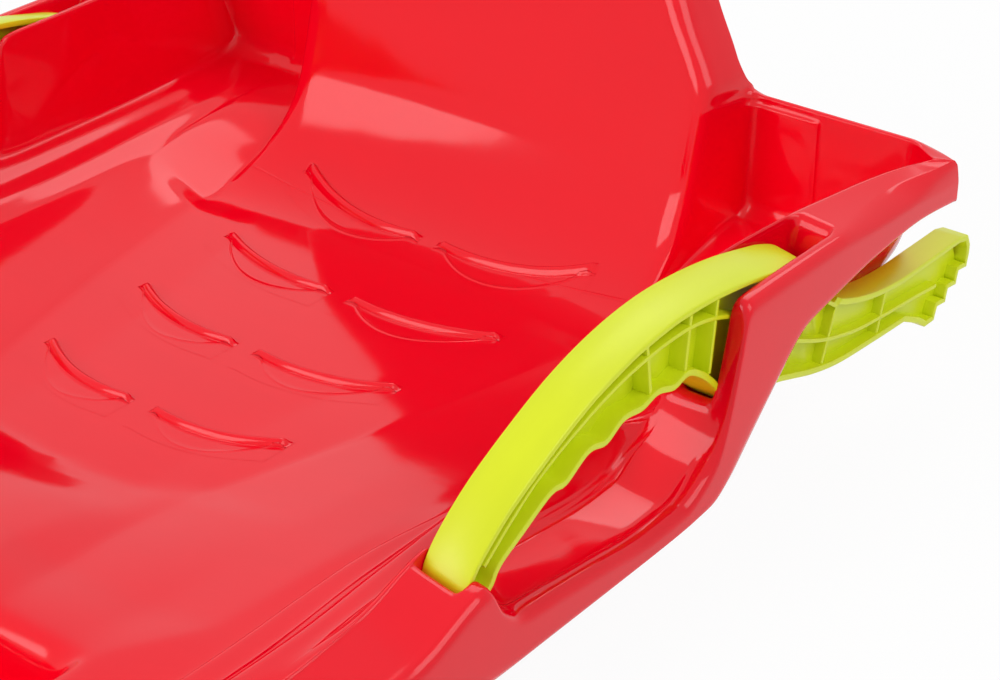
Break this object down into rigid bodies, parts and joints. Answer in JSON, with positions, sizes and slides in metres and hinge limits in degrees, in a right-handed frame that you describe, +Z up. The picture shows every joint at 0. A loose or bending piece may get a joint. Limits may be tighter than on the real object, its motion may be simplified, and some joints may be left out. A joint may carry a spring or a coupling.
{
  "type": "plastic sled",
  "caption": "Child's moulded plastic snow sled with a bucket seat, raised backrest, footwells, runner keels and a hand brake lever pivoting in a slot on each side.",
  "frame": {"origin": "on the ground plane under the middle of the sled, with the runner keels standing on z = 0", "axes": "+X to the rider's left, +Y to the rear (the backrest end), +Z up; the sled travels towards -Y"},
  "size_m": [0.5, 0.937, 0.232],
  "materials": {
    "red_shell": "gloss",
    "lime_lever": "satin",
    "pin_steel": "satin"
  },
  "bodies": {
    "sled": {"hull_shell": "red_shell", "pivot_pin_left": "pin_steel", "pivot_pin_right": "pin_steel"},
    "left_brake": {"brake_lever_left": "lime_lever"},
    "right_brake": {"brake_lever_right": "lime_lever"}
  },
  "joints": [
    {"name": "left_brake_pull", "type": "hinge", "parent": "sled", "child": "left_brake", "pos_m": [0.23, 0.276, 0.093], "axis": [-1, 0, 0], "range_deg": [0, 28]},
    {"name": "right_brake_pull", "type": "hinge", "parent": "sled", "child": "right_brake", "pos_m": [-0.23, 0.276, 0.093], "axis": [-1, 0, 0], "range_deg": [0, 28]}
  ]
}
